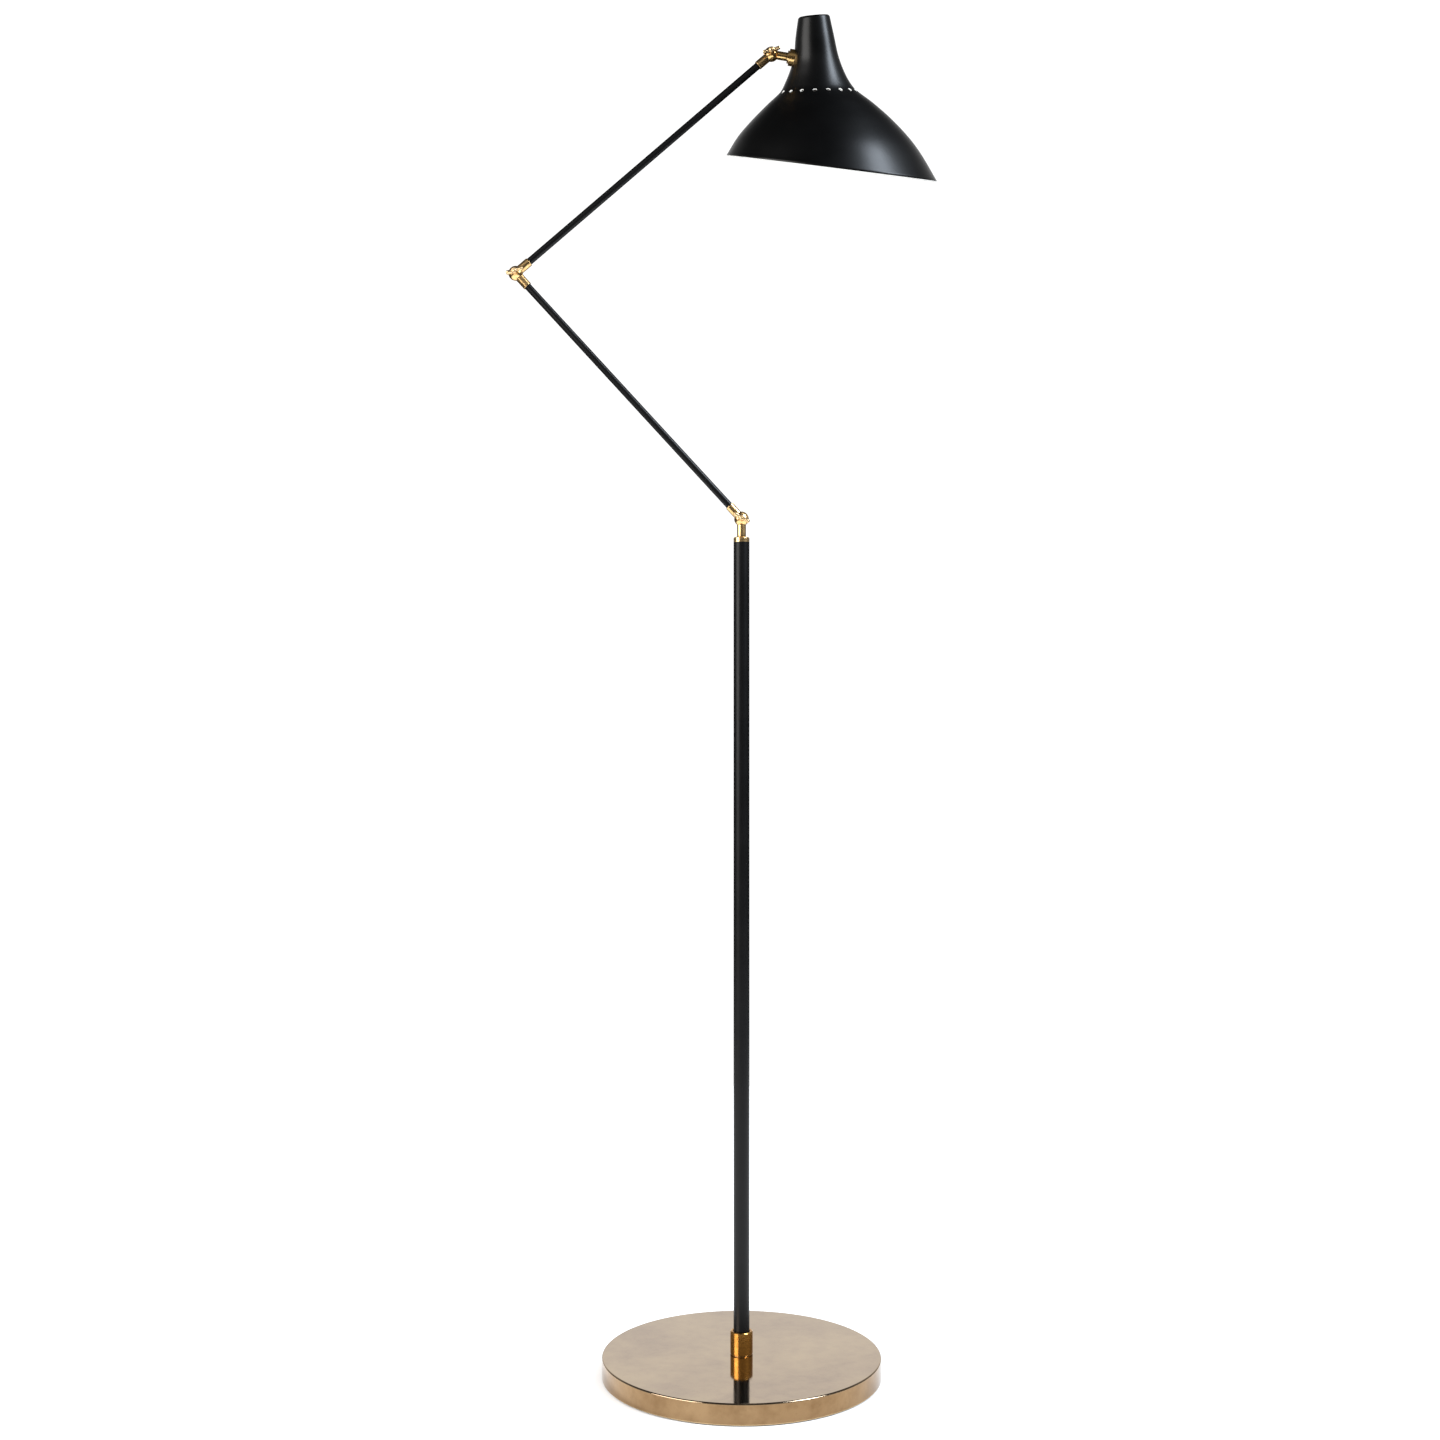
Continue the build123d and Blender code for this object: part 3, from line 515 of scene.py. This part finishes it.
# Friction washers: punched from brown vulcanised fibre, one between the halves of each knuckle.
# The wing screw squeezes them, which holds the arm where it is set.
fibre, tree, shader = finish("fibre")
threads = noise(tree, on_piece(tree), 2500.0, 3.0, Distortion=1.5)
colour = blend_colours(tree, threads, (0.055, 0.022, 0.014, 1), (0.13, 0.060, 0.040, 1))
into(tree, shader, Base_Color=colour, Roughness=0.8, Normal=bump(tree, threads, 0.0001))
dress(fibre, "shoulder_washer", "elbow_washer", "head_washer")


# Arm sockets: each is half a ball with a turned cup, soldered to the end of its arm tube.
# They are turned in brass about the tube's own axis, so the fine tool lines run round it.
lower_brass = turned_brass("lower_arm_brass", shoulder, lower_axis)
dress(lower_brass, "lower_arm_shoulder_socket", "lower_arm_elbow_socket")
upper_brass = turned_brass("upper_arm_brass", elbow, upper_axis)
dress(upper_brass, "upper_arm_elbow_socket", "upper_arm_head_socket")


# Wing screws: cast in brass with two flat wings, one in the front of each knuckle.
# They are tightened by hand, which rubs their edges bright.
cast_brass, tree, shader = finish("cast_brass")
skin = use_group(tree, tarnish, {"Polished": (0.97, 0.70, 0.38, 1), "Tarnished": (0.50, 0.29, 0.125, 1),
                                 "Cloud Scale": 90.0, "Amount": 0.6})
rubbing_and_shade = use_group(tree, rub_and_shade, {"Edge Width": 0.0006, "Recess Depth": 0.003})
colour = blend_colours(tree, rubbing_and_shade["Rubbed And Highlit"], skin["Color"], (0.96, 0.80, 0.55, 1))
# Painted shade: darker in corners and recesses.
colour = blend_colours(tree, rubbing_and_shade["Recess Shade"], colour, PAINTED_RECESS_SHADE)
into(tree, shader, Base_Color=colour, Metallic=1.0, Roughness=0.27,
     Normal=bump(tree, skin["Height"], 0.00012))

SCREW_FLAT = 6.65              # hinge axis to the flat under the screw's head, in millimetres
SCREW_RISE = 8.8
SCREW_TAIL = 5.2
DIMPLE_RADIUS = 1.45
DIMPLE_DEPTH = 0.85
PITTING = 0.03
# One wing's sections: reach, rise above the flat, half width, half height, twist in degrees.
WING_SECTIONS = [
    (0.0, 4.4, 2.2, 3.0, 0), (2.6, 4.6, 1.95, 2.9, 3), (4.6, 5.0, 1.75, 2.85, 7),
    (6.6, 5.4, 1.85, 2.8, 11), (7.9, 5.5, 1.85, 2.6, 13), (8.5, 5.5, 1.55, 2.15, 13),
    (8.75, 5.5, 0.9, 1.3, 13)]


def screw_solid(mesh, stations, around=24):
    """A closed solid through stations of (centre x, centre z, half width, half height, twist)."""
    rings = []
    for x, z, wide, high, twist in stations:
        turn = math.radians(twist)
        ring = []
        for k in range(around):
            angle = 2 * math.pi * k / around
            across = wide * math.copysign(abs(math.cos(angle)) ** 0.75, math.cos(angle))
            up = high * math.copysign(abs(math.sin(angle)) ** 0.75, math.sin(angle))
            ring.append(mesh.verts.new((x, across * math.cos(turn) - up * math.sin(turn),
                                        z + across * math.sin(turn) + up * math.cos(turn))))
        rings.append(ring)
    for first, second in zip(rings, rings[1:]):
        for k in range(around):
            after = (k + 1) % around
            mesh.faces.new([first[k], first[after], second[after], second[k]])
    mesh.faces.new(rings[0])
    mesh.faces.new(rings[-1][::-1])


def turned_solid(mesh, outline, around=40):
    """A closed solid turned about the screw's axis from its outline of (radius, height) points."""
    turns = [2 * math.pi * k / around for k in range(around)]
    rings = [[mesh.verts.new((radius * math.cos(angle), radius * math.sin(angle), height))
              for angle in turns] for radius, height in outline]
    for first, second in zip(rings, rings[1:]):
        for k in range(around):
            after = (k + 1) % around
            mesh.faces.new([first[k], first[after], second[after], second[k]])
    mesh.faces.new(rings[0][::-1])
    mesh.faces.new(rings[-1])


def wing_screw_mesh():
    """Hub and wings run together as one casting, with a dimple in the boss, in millimetres."""
    mesh = bmesh.new()
    top = SCREW_FLAT + SCREW_RISE
    turned_solid(mesh, [(2.0, -SCREW_TAIL), (2.0, SCREW_FLAT), (3.3, SCREW_FLAT), (3.2, SCREW_FLAT + 1.4),
                        (2.8, SCREW_FLAT + 4.0), (2.9, top - 1.2), (2.6, top - 0.3), (1.9, top)])
    for side in (-1, 1):
        screw_solid(mesh, [(side * reach, SCREW_FLAT + z, wide, high, side * twist)
                           for reach, z, wide, high, twist in WING_SECTIONS])
    bmesh.ops.recalc_face_normals(mesh, faces=mesh.faces)
    rough_mesh = bpy.data.meshes.new("wing_screw_casting")
    mesh.to_mesh(rough_mesh)
    mesh.free()
    casting = bpy.data.objects.new("wing_screw_casting", rough_mesh)
    bpy.context.scene.collection.objects.link(casting)
    fuse = casting.modifiers.new("fuse", "REMESH")
    fuse.mode = "VOXEL"
    fuse.voxel_size = 0.2
    ease = casting.modifiers.new("ease", "SMOOTH")
    ease.factor = 0.5
    ease.iterations = 7
    shaped = bpy.data.meshes.new_from_object(casting.evaluated_get(bpy.context.evaluated_depsgraph_get()))
    bpy.data.objects.remove(casting)
    for vertex in shaped.vertices:
        off_axis = math.hypot(vertex.co.x, vertex.co.y)
        if off_axis < DIMPLE_RADIUS and vertex.co.z > top - 1:
            vertex.co.z -= DIMPLE_DEPTH * (1 - (off_axis / DIMPLE_RADIUS) ** 2)
        if vertex.co.z > SCREW_FLAT + 1:
            x, y, z = vertex.co
            pitting = math.sin(x * 3.1 + z * 2.3) * math.sin(y * 3.7 - z * 1.9)
            vertex.co += vertex.normal * PITTING * pitting
    shaped.transform(Matrix.Scale(0.001, 4))
    for polygon in shaped.polygons:
        polygon.use_smooth = True
    shaped.materials.clear()
    shaped.materials.append(cast_brass)
    return shaped


screw_casting = wing_screw_mesh()
for name, hinge, turn in (("shoulder", shoulder, -28.0), ("elbow", elbow, 17.0), ("head", head, 17.5)):
    data = screw_casting.copy()
    across = Vector((math.cos(math.radians(turn)), 0, math.sin(math.radians(turn))))
    forward = Vector((0, -1, 0))
    placed = Matrix((across, forward.cross(across), forward)).transposed().to_4x4()
    data.transform(Matrix.Translation(hinge) @ placed)
    screw = bpy.data.objects.new(name + "_thumb_screw", data)
    bpy.context.scene.collection.objects.link(screw)
    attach(screw, name + "_screw")
    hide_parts(name + "_wing_screw")
bpy.data.meshes.remove(screw_casting)


# Head stub and shade bush: the turned spindle that carries the shade and the bush it turns in.
# Both are turned brass, and the bush is held in the shade's neck by a lock nut inside.
stub_brass = turned_brass("stub_brass", seat, stub_axis, (0.97, 0.64, 0.26), (0.48, 0.26, 0.085))
dress(stub_brass, "head_stub", "shade_bush")


# Shade: spun from sheet steel in one piece, a narrow closed neck that opens into a bell.
# It is enamelled satin black outside and white inside, with a ring of vents at the waist.
WALL = 0.0010
VENTS = 18
VENT_RADIUS = 0.0020
CROWN_ROUND = 0.0022
SHADE_TURN = math.radians(16.2)
# Sections from crown to rim, in millimetres from the seat: centre's x and z, radius, tilt in degrees.
SECTIONS = [
    (20.5, 39.5, 15.6, 4.4), (21.5, 20.0, 19.3, 4.0), (23.0, 1.0, 22.4, 3.0),
    (23.5, -12.5, 27.1, 2.2), (24.2, -24.0, 32.7, 1.6), (25.4, -32.0, 38.4, 1.2),
    (28.0, -44.0, 53.4, 0.0), (31.0, -61.0, 72.3, -1.4), (34.7, -80.5, 90.3, -3.6),
    (39.7, -106.7, 108.0, -7.2)]
VENT_PLACE = 5                                  # the section that the vents are centred on


def section_slope(index, column):
    """Change of one column per millimetre of height at a section."""
    before, after = SECTIONS[max(index - 1, 0)], SECTIONS[min(index + 1, len(SECTIONS) - 1)]
    return (after[column] - before[column]) / (after[1] - before[1])


def section_at(place):
    """Centre x, z, radius and tilt at a place between 0, the crown, and the last section, the rim."""
    index = min(int(place), len(SECTIONS) - 2)
    share = place - index
    low, high = SECTIONS[index], SECTIONS[index + 1]
    rise = high[1] - low[1]
    ease = share * share * (3 - 2 * share)
    start_pull, end_pull = share * (1 - share) ** 2 * rise, share * share * (share - 1) * rise
    x, radius, tilt = (low[c] + (high[c] - low[c]) * ease + section_slope(index, c) * start_pull
                       + section_slope(index + 1, c) * end_pull for c in (0, 2, 3))
    return x, low[1] + rise * share, radius, tilt


def shade_point(place, angle, inset=0.0):
    """A point of the shade's outside before it is turned about the stub."""
    x, z, radius, tilt = section_at(place)
    radius = radius / 1000 - inset
    tilt = math.radians(tilt)
    centre = seat + Vector((x, 0, z)) / 1000
    across = Vector((math.cos(tilt), 0, math.sin(tilt)))
    return centre + across * (radius * math.cos(angle)) + Vector((0, radius * math.sin(angle), 0))


def shade_normal(place, angle):
    """Outward direction of the shade's surface."""
    step = 0.01
    low, high = max(place - step, 0), min(place + step, len(SECTIONS) - 1)
    down = shade_point(high, angle) - shade_point(low, angle)
    round_ = shade_point(place, angle + step) - shade_point(place, angle - step)
    return round_.cross(down).normalized() * -1


def build_shade():
    """The wall as two skins of quads, joined at the rim and through each vent."""
    mesh = bmesh.new()
    block = 6                                   # cells across the patch round a vent
    around = VENTS * 12
    last = len(SECTIONS) - 1
    ring_radius = SECTIONS[VENT_PLACE][2] / 1000
    cell = 2 * math.pi * ring_radius / around
    run = (shade_point(VENT_PLACE + 0.02, 0) - shade_point(VENT_PLACE - 0.02, 0)).length / 0.04
    step = cell / run
    first_row, end_row = VENT_PLACE - step * block / 2, VENT_PLACE + step * block / 2
    crown_row = CROWN_ROUND * 1000 / (SECTIONS[0][1] - SECTIONS[1][1])
    upper = [crown_row + (first_row - crown_row) * (1 - (1 - k / 46) ** 1.15) for k in range(46)]
    middle = [first_row + step * k for k in range(block)]
    lower = [end_row + (last - end_row) * k / 40 for k in range(41)]
    rows = upper + middle + lower
    vent_row = len(upper)

    def skin(inside):
        def lift(place, angle):
            point = shade_point(place, angle)
            return point - shade_normal(place, angle) * WALL if inside else point

        grid = [[mesh.verts.new(lift(place, 2 * math.pi * k / around)) for k in range(around)]
                for place in rows]
        holes = []
        for row in range(len(rows) - 1):
            for column in range(around):
                in_patch = vent_row <= row < vent_row + block and column % 12 < block
                if not in_patch:
                    after = (column + 1) % around
                    upper_ring, lower_ring = grid[row], grid[row + 1]
                    mesh.faces.new([upper_ring[column], upper_ring[after], lower_ring[after],
                                    lower_ring[column]])
        for vent in range(VENTS):
            start = vent * 12
            border = ([(vent_row, start + k) for k in range(block)]
                      + [(vent_row + k, start + block) for k in range(block)]
                      + [(vent_row + block, start + block - k) for k in range(block)]
                      + [(vent_row + block - k, start) for k in range(block)])
            middle_angle = 2 * math.pi * (start + block / 2) / around
            outline = [grid[row][column % around] for row, column in border]
            for share in (0.55, 0.88, 1.0):
                inner = []
                for row, column in border:
                    flat_x = (column - start - block / 2)
                    flat_y = (row - vent_row - block / 2)
                    length = math.hypot(flat_x, flat_y)
                    reach = length + (VENT_RADIUS / cell - length) * share
                    place = VENT_PLACE + flat_y / length * reach * step
                    angle = middle_angle + flat_x / length * reach * 2 * math.pi / around
                    inner.append(mesh.verts.new(lift(place, angle)))
                for k in range(len(inner)):
                    after = (k + 1) % len(inner)
                    mesh.faces.new([outline[k], outline[after], inner[after], inner[k]])
                outline = inner
            holes.append(outline)
        for vent in range(VENTS):
            for row in range(vent_row + 1, vent_row + block):
                for column in range(vent * 12 + 1, vent * 12 + block):
                    mesh.verts.remove(grid[row][column])
        return grid, holes

    outer, outer_holes = skin(False)
    outer_faces = len(mesh.faces)
    inner, inner_holes = skin(True)
    bridges = list(zip(outer_holes, inner_holes)) + [(outer[-1], inner[-1])]
    for first, second in bridges:
        for k in range(len(first)):
            after = (k + 1) % len(first)
            mesh.faces.new([first[k], first[after], second[after], second[k]])
    inner_faces = len(mesh.faces)
    for grid, inset in ((outer, 0.0), (inner, WALL)):
        x, z = SECTIONS[0][:2]
        tilt = math.radians(SECTIONS[0][3])
        up = Vector((-math.sin(tilt), 0, math.cos(tilt)))
        ring = grid[0]
        for turn in range(1, 7):
            swing = math.pi / 2 * turn / 6
            shrink = CROWN_ROUND * (1 - math.cos(swing))
            climb = crown_row * (1 - math.sin(swing))
            drop = up * inset * math.sin(swing)
            lifted = [mesh.verts.new(shade_point(climb, 2 * math.pi * k / around, inset + shrink) - drop)
                      for k in range(around)]
            for k in range(around):
                after = (k + 1) % around
                mesh.faces.new([lifted[k], lifted[after], ring[after], ring[k]])
            ring = lifted
        centre = mesh.verts.new(seat + Vector((x, 0, z)) / 1000 - up * inset)
        for k in range(around):
            mesh.faces.new([centre, ring[(k + 1) % around], ring[k]])
    mesh.faces.ensure_lookup_table()
    return mesh, outer_faces, inner_faces


mesh, outer_faces, inner_faces = build_shade()
for index, face in enumerate(mesh.faces):
    face.smooth = True
    if outer_faces <= index < inner_faces:
        face.material_index = 1
swing = Matrix.Translation(seat) @ Matrix.Rotation(SHADE_TURN, 4, stub_axis) @ Matrix.Translation(-seat)
bmesh.ops.transform(mesh, matrix=swing, verts=mesh.verts)
bmesh.ops.recalc_face_normals(mesh, faces=mesh.faces)
shade_data = bpy.data.meshes.new("shade")
mesh.to_mesh(shade_data)
mesh.free()
shade = bpy.data.objects.new("shade", shade_data)
bpy.context.scene.collection.objects.link(shade)

shade_black, tree, shader = finish("shade_black")
coat = use_group(tree, enamel, {"Coat": (0.0004, 0.0004, 0.0005, 1), "Haze": (0.0014, 0.0014, 0.0016, 1),
                                "Dust": (0.008, 0.0075, 0.007, 1), "Peel Scale": 700.0})
into(tree, shader, Base_Color=coat["Color"], Roughness=coat["Roughness"], IOR=ENAMEL_IOR,
     Normal=bump(tree, coat["Height"], PEEL_DEPTH))
shade_white, tree, shader = finish("shade_white")
coat = use_group(tree, enamel, {"Coat": (0.80, 0.795, 0.77, 1), "Haze": (0.69, 0.67, 0.61, 1),
                                "Dust": (0.50, 0.47, 0.41, 1), "Peel Scale": 700.0})
into(tree, shader, Base_Color=coat["Color"], Roughness=coat["Roughness"],
     Normal=bump(tree, coat["Height"], PEEL_DEPTH))
shade_data.materials.append(shade_black)
shade_data.materials.append(shade_white)
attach(shade, "shade")
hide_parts("shade_shell")


# Lamp holder: a moulded phenolic body with a fine grain of wood flour in it.
# Two screws hold it under the bracket inside the shade.
phenolic, tree, shader = finish("phenolic")
flour = noise(tree, on_piece(tree), 500.0, 5.0, Roughness=0.7)
colour = blend_colours(tree, flour, (0.014, 0.011, 0.010, 1), (0.038, 0.030, 0.026, 1))
into(tree, shader, Base_Color=colour, Roughness=0.3, Coat_Weight=0.2, Normal=bump(tree, flour, 0.00002))
dress(phenolic, "lamp_holder")


# Holder shell and contact: rolled and pressed from thin bright brass sheet.
# They sit inside the lamp holder's body and carry the lamp.
bright_brass, tree, shader = finish("bright_brass")
skin = use_group(tree, tarnish, {"Polished": (0.90, 0.70, 0.36, 1), "Tarnished": (0.70, 0.48, 0.22, 1),
                                 "Cloud Scale": 80.0, "Amount": 0.4})
into(tree, shader, Base_Color=skin["Color"], Metallic=1.0, Roughness=0.2,
     Normal=bump(tree, skin["Height"], 0.00002))
dress(bright_brass, "holder_shell", "holder_contact")
